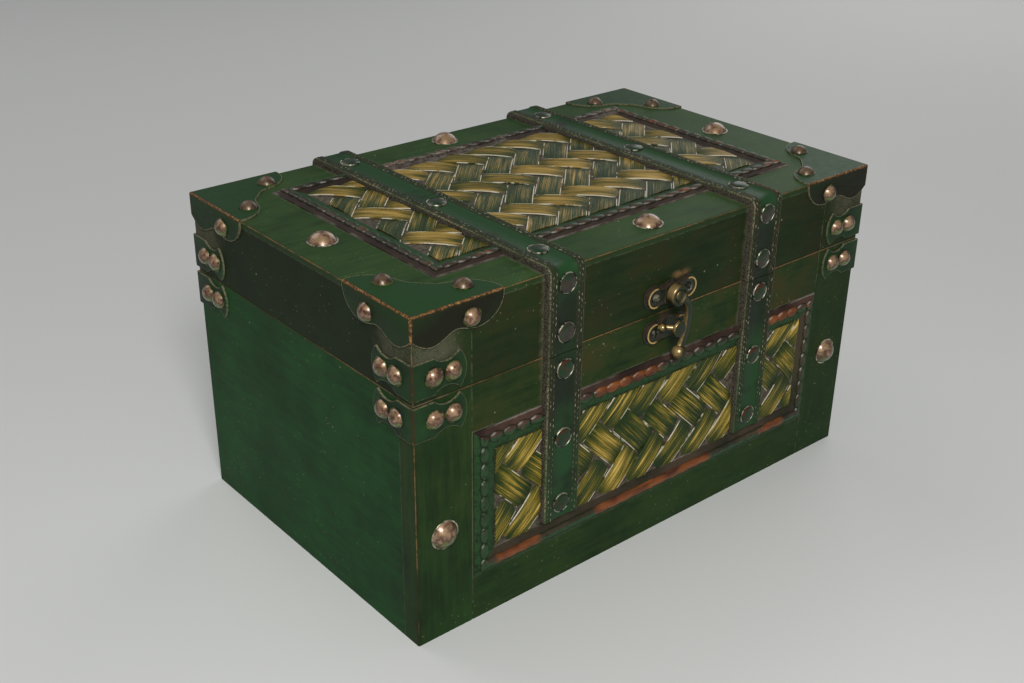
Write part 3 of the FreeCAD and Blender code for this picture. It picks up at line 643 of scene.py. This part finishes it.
# painted light: the side turned towards the given direction is painted brown as sheen from the lamp, the far
# side green as a painted reflection
def beadPaint(name, toward, rubbed, browned, sheen, bare=(), dusty=False):
    p = moulding
    material, place = startPaint(name)
    x, y, z = place.parts()
    lift = (case["front"] - y).most(z - case["top"])
    facing = facingOf(place, toward)
    cloud = place.grainOf(0.03, 3.0, 0.6)
    ragged = place.grainOf(0.45, 4.0, 0.65)
    brown = cloud.ramp((0.36, p["umber"]), (0.62, p["plum"]))
    green = ragged.ramp((0.3, p["soot"]), (0.52, p["green"]))
    # painted light: plum-brown sheen on the side facing the lamp over a painted green reflection
    colour = green.over((facing + ragged * 0.14).fade(0.28, 0.46) * browned, brown)
    crest = abs(facing - 0.2).fade(0.8, 0.5)
    bead = (lift + ragged * 0.5).fade(1.9, 2.3) * (cloud + ragged * 0.3 + rubbed).fade(0.62, 0.74)
    copper = ragged.ramp((0.4, p["rust"]), (0.72, p["amber"]))
    colour = colour.over(crest * bead, copper)
    # painted shade in the dips between the beads
    valleyShade = lift.fade(1.3, 1.6) * (lift + ragged * 0.2).fade(2.4, 2.0)
    colour = colour.over(valleyShade * 0.6, p["soot"])
    smooth = place.grainOf(0.3, 2.0, 0.5, (0.25, 1, 1)).ramp((0.3, p["rust"]), (0.72, p["amber"]))
    for middle, half in bare:
        worn = (abs(x - middle) + ragged * 8).fade(half + 6, half + 1) * (lift + ragged * 0.4).fade(1.5, 1.9)
        colour = colour.over(worn, smooth)
    # painted shadow: a dark line along the foot of the ridge
    colour = colour.over((lift + ragged * 0.6).fade(0.95, 0.6) * 0.7, p["soot"])
    # a pale line along the foot on the side facing the lamp, partly dust and partly painted highlight
    edge = (lift + ragged * 0.5).fade(0.95, 0.8) * (facing + ragged * 0.1).fade(0.34, 0.46)
    colour = colour.over(edge * cloud.fade(0.4, 0.6) * 0.7, p["dust"])
    # painted highlight: a pale glint on each bead where it faces the lamp
    tip = facingOf(place, p["towardGlint"]).fade(0.86, 0.98) * lift.fade(1.6, 1.9)
    colour = colour.over(tip * ragged.fade(0.36, 0.58) * sheen, p["tip"])
    if dusty:
        colour = colour.over(lift.fade(1.9, 1.6) * facing.fade(0.1, 0.4) * 0.5, p["umber"])
        start, end = (case["lidFrameRear"] - gap for gap in p["rearDust"])
        film = y.fade(start, end) * cloud.fade(0.46, 0.62) * ragged.fade(0.36, 0.6)
        colour = colour.over(film * 0.4, p["dust"])
        foot = (lift + ragged * 0.4).fade(1.0, 0.72) * cloud.fade(0.44, 0.62)
        colour = colour.over(foot * ragged.fade(0.36, 0.56) * 0.7, p["dust"])
    return finishPaint(material, {
        "Base Color": colour, "Roughness": 0.42 + ragged * 0.24, "Specular IOR Level": 0.15,
        "Coat Weight": lift.fade(1.7, 2.1) * 0.25, "Coat Roughness": 0.1, "Normal": ragged.bump(0.3, 0.0004),
    })


def beadShape():
    p = moulding
    bm = bmesh.new()
    bmesh.ops.create_uvsphere(bm, u_segments=p["beadFaces"][0], v_segments=p["beadFaces"][1], radius=1)
    bmesh.ops.scale(bm, vec=p["beadHalf"], verts=bm.verts)
    bmesh.ops.translate(bm, vec=(0, p["beadAcross"], p["beadLevel"]), verts=bm.verts)
    cutAway(bm, (0, 0, p["sunk"]), (0, 0, -1))
    bmesh.ops.holes_fill(bm, edges=bm.edges, sides=0)
    return asShape(bm, "bead")


# one run along x from 0, outer edge at y 0, with its mitres
def mouldingRun(length, mitred, bead, stretch):
    p = moulding
    bm = bmesh.new()
    section = bm.faces.new([bm.verts.new((0, y, z)) for y, z in p["arch"]])
    made = bmesh.ops.extrude_face_region(bm, geom=[section])["geom"]
    bmesh.ops.translate(bm, vec=(length, 0, 0), verts=only(bmesh.types.BMVert, made))
    lengthwise = [e for e in bm.edges if abs(e.verts[0].co.x - e.verts[1].co.x) > length / 2]
    soften(bm, [e for e in lengthwise if e.verts[0].co.z > p["seat"]], p["round"], p["roundSteps"])
    count = max(1, round(length / p["pitch"]))
    for index in range(count):
        place = Matrix.Translation(((index + 0.5) * length / count, 0, 0))
        stamp(bm, bead, place @ Matrix.Diagonal((stretch * length / count / p["pitch"], 1, 1, 1)))
    cuts = [(0, (-1, 1, 0) if mitred[0] else (-1, 0, 0)), (length, (1, 1, 0) if mitred[1] else (1, 0, 0))]
    for x, way in cuts:
        cutAway(bm, (x, 0, 0), way)
        bmesh.ops.holes_fill(bm, edges=[e for e in bm.edges if e.is_boundary], sides=0)
    return bm


def buildMouldings():
    p = moulding
    # way of the painted brown sheen, how far the beads are rubbed, share of painted brown sheen, strength of
    # the painted glints
    paints = {
        "front": beadPaint("mouldingGreen", p["towardFront"], -0.3, 0.15, 0.45),
        "top": beadPaint("mouldingTop", p["towardFront"], -0.16, 1.0, 0.4, p["bareHead"]),
        "right": beadPaint("mouldingRight", p["towardLeft"], -0.3, 0.7, 0.7),
        "bottom": beadPaint("mouldingFoot", p["towardFront"], -0.1, 0.8, 0.0, p["bareFoot"]),
        "lid": beadPaint("mouldingLid", p["towardLid"], -0.08, 0.85, 0.45, dusty=True),
    }
    bead = beadShape()
    # side of its frame: quarter turns from a run whose outer edge is below
    sides = {"bottom": 0, "front": 0, "right": 1, "top": 2, "rear": 2, "left": 3}
    frames = {"front": ("bottom", "right", "top", "left"), "lid": ("front", "right", "rear", "left")}
    for face, group in frames.items():
        toFace = faces["front" if face == "front" else "top"]
        for side in group:
            node = face + "_moulding_" + side
            turn = Matrix.Rotation(sides[side] * math.pi / 2, 4, "Z")
            toRun = (toFace @ turn).inverted()
            spans = []
            for low, high in islands(node):
                ends = (toRun @ low, toRun @ high)
                spans.append((Vector([min(pair) for pair in zip(*ends)]), max(ends[0].x, ends[1].x)))
            spans.sort(key=lambda span: span[0].x)
            whole = bmesh.new()
            stretch = p["drawnOut"].get("lid" if face == "lid" else side, 1)
            for index, (low, end) in enumerate(spans):
                run = mouldingRun(end - low.x, (index == 0, index == len(spans) - 1), bead, stretch)
                shape = asShape(run, "mouldingRun")
                stamp(whole, shape, toFace @ turn @ Matrix.Translation((low.x, low.y, 0)))
            paint = paints["lid"] if face == "lid" else paints.get(side, paints["front"])
            finishPiece(camel(node), whole, [node], [paint], sharp=40)
    print("mouldings set")


buildMouldings()


# straps: rolled rims with two rows of stitches, a plain channel between them
strap = {
    "channel": 5.3, "channelDrop": 0.55, "rimStep": 0.7, "roll": 1.5, "rollSteps": 4, "step": 4.5,
    "bend": 4.5, "bendSteps": 8, "wobble": 0.2, "wobbleScale": 0.06, "rows": (6.8, 8.6), "rowSpread": 0.2,
    "stitch": (0.28, 1.1, 0.36), "stitchPitch": 3.0, "stitchStart": 0.3, "stitchSpread": 0.08, "stitchEnd": 1,
    "stitchSlant": 18, "stitchGrowth": (0.7, 1.1), "stitchSink": 0.12, "missing": 0.16,
    # where a finish starts and is full, in mm from the strap's middle line or from the ground
    "rimFrom": (5.7, 6.4), "rollAt": 10.45, "wallFrom": (10.65, 10.95),
    "sootFrom": (84, 106), "sootTo": (168, 150), "rimDarker": (50, 100),
    "green": tint(35, 68, 37), "soot": tint(27, 31, 23), "rim": tint(44, 47, 30), "edge": tint(132, 122, 94),
    "wall": tint(92, 86, 74), "wallDark": tint(36, 32, 25), "brown": tint(74, 52, 32),
    "thread": tint(158, 151, 130), "threadDark": tint(48, 50, 36),
}


def strapPaint():
    p = strap
    material, place = startPaint("strapHide")
    x, _, z = place.parts()
    side = abs(abs(x) - case["strap"])
    cloud = place.grainOf(0.03, 3.0, 0.6)
    ragged = place.grainOf(0.5, 4.0, 0.65)
    fine = place.grainOf(1.3, 3.0, 0.65)
    colour = cloud.ramp((0.3, p["soot"]), (0.44, p["green"]))
    sooty = z.fade(*p["sootFrom"]) * z.fade(*p["sootTo"]) * cloud.fade(0.3, 0.5)
    colour = colour.over(sooty * 0.85, p["soot"])
    rim = (side + ragged * 0.8).fade(*p["rimFrom"])
    colour = colour.over(rim * (z.fade(*p["rimDarker"]) * 0.45 + 0.35), p["rim"])
    colour = colour.over(rim * cloud.fade(0.52, 0.66) * ragged.fade(0.5, 0.6), p["brown"])
    roll = abs(side + ragged * 0.5 - p["rollAt"]).fade(0.6, 0.25)
    colour = colour.over(roll * fine.fade(0.4, 0.6) * (cloud.fade(0.4, 0.6) * 0.55 + 0.4), p["edge"])
    wall = fine.ramp((0.38, p["wallDark"]), (0.62, p["wall"]))
    colour = colour.over(side.fade(*p["wallFrom"]), wall)
    return finishPaint(material, {
        "Base Color": colour, "Roughness": 0.4 + ragged * 0.2 + rim * 0.15, "Specular IOR Level": 0.15,
        "Normal": (ragged * 0.7 + fine * 0.4).bump(0.4, 0.0004),
    })


def threadPaint():
    material, place = startPaint("strapThread")
    colour = place.grainOf(0.2, 3.0, 0.7).ramp((0.44, strap["threadDark"]), (0.62, strap["thread"]))
    return finishPaint(material, {
        "Base Color": colour, "Roughness": 0.55, "Normal": place.grainOf(2.5).bump(0.3, 0.0003),
    })


def strapOutline(half, thick):
    p = strap
    points = [(half, 0)]
    for index in range(p["rollSteps"] + 1):
        angle = math.pi / 2 * index / p["rollSteps"]
        across = half - p["roll"] + p["roll"] * math.cos(angle)
        points.append((across, thick - p["roll"] + p["roll"] * math.sin(angle)))
    points.append((p["channel"] + p["rimStep"], thick))
    points.append((p["channel"], thick - p["channelDrop"]))
    return points + [(-across, level) for across, level in reversed(points)]


def pushed(bm, end, way, length):
    steps = max(1, round(length / strap["step"]))
    for _ in range(steps):
        made = bmesh.ops.extrude_face_region(bm, geom=end)["geom"]
        verts = only(bmesh.types.BMVert, made)
        bmesh.ops.translate(bm, vec=way * length / steps, verts=verts)
        end = only(bmesh.types.BMFace, made)
    return end


def bent(bm, end, centre):
    made = bmesh.ops.spin(bm, geom=end, cent=centre, axis=(1, 0, 0), dvec=(0, 0, 0), angle=-math.pi / 2,
                          steps=strap["bendSteps"])
    return only(bmesh.types.BMFace, made["geom_last"])


# the way of a strap, leg by leg from its foot in front: frame at the start, length, whether it bends
def strapLegs(low, high, inside, thick):
    middle = (high.x + low.x) / 2
    foot = faces["front"] @ Matrix.Translation((middle, low.z, 0))
    if high.y < 0:
        return [(foot, high.z - low.z, False)]
    centre = case["top"] - inside
    rise = centre - low.z
    arc = math.pi / 2 * (inside + thick)
    flat = case["back"] - case["front"] - 2 * inside
    up = faces["front"] @ Matrix.Translation((middle, centre, -inside))
    top = faces["top"] @ Matrix.Translation((middle, case["front"] + inside, 0))
    over = faces["top"] @ Matrix.Translation((middle, case["back"] - inside, -inside))
    down = over @ Matrix.Rotation(-math.pi / 2, 4, "X") @ Matrix.Translation((0, 0, inside))
    return [(foot, rise, False), (up, arc, True), (top, flat, False), (over, arc, True), (down, rise, False)]


# where a stitch sits: x across the strap, y along it, z outward, at a distance s from its foot
def placeOn(legs, inside, s):
    for start, reach, bends in legs:
        if s < reach:
            break
        s -= reach
    if bends:
        turn = Matrix.Rotation(-math.pi / 2 * s / reach, 4, "X")
        return start @ turn @ Matrix.Translation((0, 0, inside))
    return start @ Matrix.Translation((0, s, 0))


def stitchShape():
    bm = bmesh.new()
    bmesh.ops.create_icosphere(bm, subdivisions=1, radius=1)
    bmesh.ops.scale(bm, vec=strap["stitch"], verts=bm.verts)
    for face in bm.faces:
        face.material_index = 1
    return asShape(bm, "stitch")


def buildStrap(node, paints, stitch):
    p = strap
    name = camel(node)
    low, high = boxOf(node)
    half = (high.x - low.x) / 2
    thick = case["front"] - low.y
    inside = p["bend"] - thick
    legs = strapLegs(low, high, inside, thick)
    length = sum(reach for start, reach, bends in legs)
    foot = legs[0][0]
    bm = bmesh.new()
    outline = [foot @ Vector((across, 0, level)) for across, level in strapOutline(half, thick)]
    end = [bm.faces.new([bm.verts.new(spot) for spot in outline])]
    for start, reach, bends in legs:
        if bends:
            end = bent(bm, end, start.translation)
        else:
            end = pushed(bm, end, start.to_3x3() @ Vector((0, 1, 0)), reach)
    for vert in bm.verts:
        vert.co.x += noise.noise(vert.co * p["wobbleScale"]) * p["wobble"]
    stitches = int(length / p["stitchPitch"])
    rng = random.Random(len(name))
    for index in range(stitches):
        for row, across in enumerate(p["rows"]):
            for way in (-1, 1):
                step = index + p["stitchStart"] + row / 2 + rng.uniform(-p["stitchSpread"], p["stitchSpread"])
                s = step * length / stitches
                if s > length - p["stitchEnd"] or rng.random() < p["missing"]:
                    continue
                angle = math.radians(rng.uniform(-p["stitchSlant"], p["stitchSlant"]))
                slant = Matrix.Rotation(angle, 4, "Z")
                grown = Matrix.Scale(rng.uniform(*p["stitchGrowth"]), 4)
                off = way * (across + rng.uniform(-p["rowSpread"], p["rowSpread"]))
                seat = Matrix.Translation((off, 0, thick - p["stitchSink"]))
                stamp(bm, stitch, placeOn(legs, inside, s) @ seat @ slant @ grown)
    finishPiece(name, bm, [node], paints, sharp=50)


def buildStraps():
    paints = [strapPaint(), threadPaint()]
    stitch = stitchShape()
    for part in ("front", "lid"):
        for side in ("left", "right"):
            buildStrap(part + "_strap_" + side, paints, stitch)
    print("straps sewn")


buildStraps()


# nails, studs and screws: old bronze with painted light, a pale warm highlight and brown where it faces up
# and forward, a painted green reflection and shade below
bronze = {
    "toward": (-0.4, -0.45, 0.8), "dark": tint(34, 52, 22), "olive": tint(98, 112, 46),
    "brown": tint(78, 40, 28), "warm": tint(164, 132, 98), "green": tint(31, 54, 31),
    "plum": tint(42, 38, 30), "steel": tint(150, 146, 126), "ring": tint(184, 176, 154),
    "soot": tint(34, 34, 24), "umber": tint(56, 47, 37),
}


# heads on top of the lid can be dulled
def bronzePaint(name, colours, starts, metallic, coat, specular, dulled=0):
    p = bronze
    material, place = startPaint(name)
    ragged = place.grainOf(0.35, 4.0, 0.65)
    # painted light: from painted shade and green reflection below to a painted highlight towards the lamp
    tilt = facingOf(place, p["toward"]) * 0.6 + ragged * 1.5 - 0.42
    stops = [(start, p[colour]) for start, colour in zip(starts, colours)]
    height = place.parts()[2]
    dull = height.fade(case["top"] - 1, case["top"]) * dulled
    return finishPaint(material, {
        "Base Color": tilt.ramp(*stops).over(dull, p["umber"]), "Metallic": metallic,
        "Roughness": 0.3 + ragged * 0.2, "Coat Weight": coat - dull * coat, "Coat Roughness": 0.19,
        "Specular IOR Level": specular, "Normal": ragged.bump(0.2, 0.0003),
    })


def plainMetal(name, colour, base, roughness, metallic, start=0.46):
    material, place = startPaint(name)
    ragged = place.grainOf(0.3, 3.0, 0.65)
    return finishPaint(material, {
        "Base Color": ragged.ramp((start, base), (start + 0.16, colour)), "Metallic": metallic,
        "Roughness": roughness + ragged * 0.2,
    })


nail = {
    "steps": 24, "rings": 6, "flange": 0.09, "rim": 0.35, "ringFrom": 0.93, "dulled": 0.65,
    # shares of the radius and of the rim's height
    "lip": ((0.985, 0.95), (1, 0.6), (1, 0), (0, 0)),
    # colours from painted shade to painted highlight, where each begins, metallic, coat, specular
    "look": (("dark", "olive", "brown", "warm"), (0.16, 0.4, 0.62, 0.95), 0.4, 1.0, 0.3),
}


def turned(outline, steps):
    bm = bmesh.new()
    verts = [bm.verts.new((across, 0, level)) for across, level in outline]
    edges = [bm.edges.new(pair) for pair in zip(verts, verts[1:])]
    bmesh.ops.spin(bm, geom=verts + edges, cent=(0, 0, 0), axis=(0, 0, 1), dvec=(0, 0, 0), angle=2 * math.pi,
                   steps=steps, use_merge=True)
    bmesh.ops.remove_doubles(bm, verts=bm.verts, dist=joining["fineWeld"])
    return bm


def ringed(bm, start, name):
    for face in bm.faces:
        if face.calc_center_median().to_2d().length > start:
            face.material_index = 1
    return asShape(bm, name)


def nailShape(radius, height):
    p = nail
    flat = radius * (1 - p["flange"])
    rise = height - p["rim"]
    ball = (flat * flat + rise * rise) / (2 * rise)
    reach = math.asin(min(1, flat / ball))
    outline = []
    for index in range(p["rings"] + 1):
        angle = reach * index / p["rings"]
        outline.append((ball * math.sin(angle), height - ball * (1 - math.cos(angle))))
    outline += [(radius * across, p["rim"] * level) for across, level in p["lip"]]
    return ringed(turned(outline, p["steps"]), radius * p["ringFrom"], "nailHead")


# a low painted dome inside a bare ring, as shares of the radius and the height
stud = {
    "steps": 24, "ringFrom": 0.9,
    "dome": ((0, 1), (0.4, 0.94), (0.68, 0.76), (0.84, 0.5), (0.9, 0.36)),
    "ring": ((0.92, 0.48), (0.95, 0.52), (0.98, 0.42), (1, 0.3), (1, 0), (0, 0)),
    # colours along the painted light ramp, from the side away from the lamp to the side facing it, where each
    # begins, metallic, coat, specular
    "lidLook": (("soot", "plum", "umber", "green"), (0.3, 0.5, 0.66, 0.8), 0.1, 0.35, 0.2),
    "frontLook": (("soot", "green", "green", "brown"), (0.2, 0.4, 0.72, 0.9), 0.1, 0.2, 0.15),
}


def studShape(radius, height):
    p = stud
    outline = [(across * radius, level * height) for across, level in p["dome"] + p["ring"]]
    return ringed(turned(outline, p["steps"]), radius * p["ringFrom"], "studHead")


def buildHeads():
    smallRing = plainMetal("nailRing", bronze["olive"], bronze["soot"], 0.3, 0.5)
    smallNail = [bronzePaint("nailSmallBronze", *nail["look"], dulled=nail["dulled"]), smallRing]
    # painted highlight: a pale ring round the foot of the big dome nails, where the flange catches the light
    largeRing = plainMetal("nailRingHighlight", bronze["ring"], bronze["umber"], 0.25, 0.5, 0.38)
    largeNail = [bronzePaint("nailBronze", *nail["look"]), largeRing]
    studRing = plainMetal("studRing", bronze["ring"], bronze["soot"], 0.25, 0.6, 0.43)
    lidStud = [bronzePaint("studPaint", *stud["lidLook"]), studRing]
    frontStud = [bronzePaint("studGreen", *stud["frontLook"]), studRing]
    groups = {
        "lidCornerNails": ("lid_corner_nails", nailShape, smallNail, "bronze"),
        "bodyCornerNails": ("body_bracket_nails", nailShape, smallNail, "bronze"),
        "lidDomeNails": ("lid_dome_nails", nailShape, largeNail, "bronze"),
        "frontDomeNails": ("front_dome_nails", nailShape, largeNail, "bronze"),
        "lidStrapStuds": ("lid_strap_studs", studShape, lidStud, "stud"),
        "frontStrapStuds": ("front_strap_studs", studShape, frontStud, "stud"),
    }
    for name, (node, shapeOf, paints, slotName) in groups.items():
        bm = bmesh.new()
        shape = None
        for low, high in islands(node):
            place, radius, height = seatOf(low, high)
            shape = shape or shapeOf(radius, height)
            stamp(bm, shape, place)
        finishPiece(name, bm, [node], paints, sharp=40)
    print("nails and studs driven")


buildHeads()


# corner mounts: the solids with their ridges rounded and a thin line round their outline, partly rubbed and
# partly painted highlight
mount = {
    "ridge": 0.7, "ridgeSteps": 3, "ridgeTurn": 1, "proud": 0.3, "turned": 0.3, "skin": 1,
    "lines": {"lid_cap": 0.35, "lid_bracket": 0.14, "body_bracket": 0.14}, "capFoot": (18, 16),
    "toward": (-0.25, 0, 1),
    "dark": tint(29, 31, 19), "green": tint(35, 66, 33), "deep": tint(22, 40, 24), "edge": tint(118, 114, 88),
    "gold": tint(164, 126, 76), "rust": tint(106, 74, 44), "brown": tint(58, 42, 25),
}


def mountPaint(name, lined):
    p = mount
    material, place = startPaint(name)
    x, y, z = place.parts()
    ragged = place.grainOf(0.3, 4.0, 0.65)
    cloud = place.grainOf(0.04, 3.0, 0.6)
    fine = place.grainOf(0.9, 3.0, 0.65)
    sideGap = case["right"] + p["skin"] - abs(x)
    endGap = (y - case["front"] + p["skin"]).least(case["back"] + p["skin"] - y)
    levelGap = case["top"] + p["skin"] - z
    edgeGap = sideGap.least(endGap).most(sideGap.most(endGap).least(levelGap))
    # painted light: lighter green where a face looks up, dark where it looks to the side
    colour = (facingOf(place, p["toward"]) + cloud * 0.6).ramp((0.3, p["dark"]), (0.9, p["green"]))
    capped = z.fade(*(case["top"] - drop for drop in p["capFoot"]))
    colour = cloud.ramp((0.34, p["deep"]), (0.66, p["green"])).over(capped, colour)
    if lined:
        # a thin pale outline, partly rubbed and partly painted highlight
        colour = colour.over(fine.fade(0.34, 0.5), p["edge"])
    colour = colour.over((edgeGap + ragged * 4.5).fade(4.2, 2.8) * 0.7, p["brown"])
    bare = fine.ramp((0.36, p["brown"]), (0.5, p["rust"]), (0.66, p["gold"]))
    rubbed = (edgeGap + ragged * 2.2).fade(2.1, 1.7) * (capped + ragged.fade(0.56, 0.64)).least(1.0)
    colour = colour.over(rubbed, bare)
    return finishPaint(material, {
        "Base Color": colour, "Metallic": 0.1, "Roughness": 0.38 + ragged * 0.25, "Specular IOR Level": 0.15,
        "Normal": (ragged + fine * 0.5).bump(0.25, 0.0003),
    })


# how far a face stands off each side of the case, and whether it looks away from it
def standOff(face):
    spot = face.calc_center_median()
    gapY = max(case["front"] - spot.y, spot.y - case["back"])
    return (abs(spot.x) - case["right"], gapY, spot.z - case["top"])


def looksOut(face):
    p = mount
    return any(gap > p["proud"] and abs(turn) > p["turned"] for gap, turn in zip(standOff(face), face.normal))


def mountCopy(node, paints, line):
    p = mount
    bm = flatCopy(node)
    outer = [e for e in bm.edges if e.is_manifold and all(looksOut(f) for f in e.link_faces)]
    soften(bm, [e for e in outer if e.calc_face_angle() > p["ridgeTurn"]], p["ridge"], p["ridgeSteps"])
    bm.normal_update()
    for face in bm.faces:
        face.material_index = 0 if looksOut(face) else 1
    outside = [face for face in bm.faces if face.material_index == 0]
    strip = bmesh.ops.inset_region(bm, faces=outside, thickness=line, use_boundary=True, use_even_offset=True)
    for face in strip["faces"]:
        face.material_index = 1
    finishPiece(camel(node), bm, [node], paints, sharp=30)


# clasp and hinges: the solids themselves with their edges broken, coloured with painted light, dark shade and
# green reflection away from the lamp and gold and pale highlight towards it
clasp = {
    "width": 0.25, "segments": 2, "angle": 28, "rimReach": 6.0, "rimFade": 2, "rimDeep": (0.3, 0.15),
    # way towards the lamp, and colours from painted shade through green reflection to painted highlight
    "toward": (-0.74, -0.1, 0.66), "shade": tint(17, 26, 13), "green": tint(33, 47, 25),
    "gold": tint(98, 81, 45), "light": tint(196, 166, 112), "plum": tint(60, 48, 38),
    "rim": tint(206, 172, 108), "pit": tint(36, 42, 27),
}


def claspPaint():
    p = clasp
    material, place = startPaint("claspBronze")
    ragged = place.grainOf(0.6, 4.0, 0.65)
    # painted light: dark where the face turns from the lamp, gold and pale highlight where it faces it
    tilt = facingOf(place, p["toward"]) * 0.5 + ragged * 0.16 + 0.42
    colour = tilt.ramp((0.3, p["shade"]), (0.6, p["green"]), (0.8, p["gold"]), (1.0, p["light"]))
    return finishPaint(material, {
        "Base Color": colour, "Metallic": 0.6, "Roughness": 0.2 + ragged * 0.2, "Coat Weight": 0.15,
        "Coat Roughness": 0.12, "Normal": ragged.bump(0.15, 0.0003),
    })


# plum on the sides that face up and left, a dark hollow, and a bright rim round each end, partly rubbed metal
# and partly painted highlight
def platePaint(name, node):
    p = clasp
    material, place = startPaint(name)
    low, high = boxOf(node)
    x, y, _ = place.parts()
    thick = case["front"] - low.y
    ragged = place.grainOf(0.6, 4.0, 0.65)
    tilt = facingOf(place, p["toward"])
    colour = ragged.ramp((0.36, p["shade"]), (0.58, p["pit"]))
    colour = colour.over((tilt + ragged * 0.3).fade(0.35, 0.7), p["plum"])
    reach = (high.x - low.x) / 2 - p["rimReach"]
    ends = abs(x - (low.x + high.x) / 2).fade(reach - p["rimFade"], reach)
    crest = (case["front"] - y).fade(*(thick - drop for drop in p["rimDeep"]))
    # bright rim round each end, partly rubbed metal and partly painted highlight
    rim = crest * ends * ragged.fade(0.25, 0.42)
    colour = colour.over(rim, p["rim"])
    return finishPaint(material, {
        "Base Color": colour, "Metallic": rim * 0.5 + 0.1, "Roughness": 0.3 + ragged * 0.2,
        "Specular IOR Level": 0.4,
    })


def softCopy(name, node, paints):
    p = clasp
    bm = flatCopy(node)
    hard = [e for e in bm.edges if e.is_manifold and e.calc_face_angle() > math.radians(p["angle"])]
    soften(bm, hard, p["width"], p["segments"])
    finishPiece(name, bm, [node], paints, sharp=30)


def buildMounts():
    mounts = [mountPaint("cornerMount", False), mountPaint("cornerMountLine", True)]
    corners = ("front_left", "front_right", "rear_left", "rear_right")
    for group, line in mount["lines"].items():
        for corner in corners:
            mountCopy(group + "_" + corner, mounts, line)
    metal = claspPaint()
    screws = plainMetal("claspScrew", bronze["steel"], bronze["soot"], 0.2, 0.6)
    pieces = {node: platePaint(camel(node) + "Metal", node) for node in ("hook_plate", "catch_plate")}
    others = (
        "hook", "hook_rivet", "catch_post", "hook_screws", "catch_screws", "hinge_lid_leaves",
        "hinge_body_leaves", "hinge_pins", "hinge_lid_screws", "hinge_body_screws",
    )
    pieces.update({node: screws if "screws" in node else metal for node in others})
    for node, paint in pieces.items():
        softCopy("hookArm" if node == "hook" else camel(node), node, [paint])
    print("mounts and clasp fitted")


buildMounts()
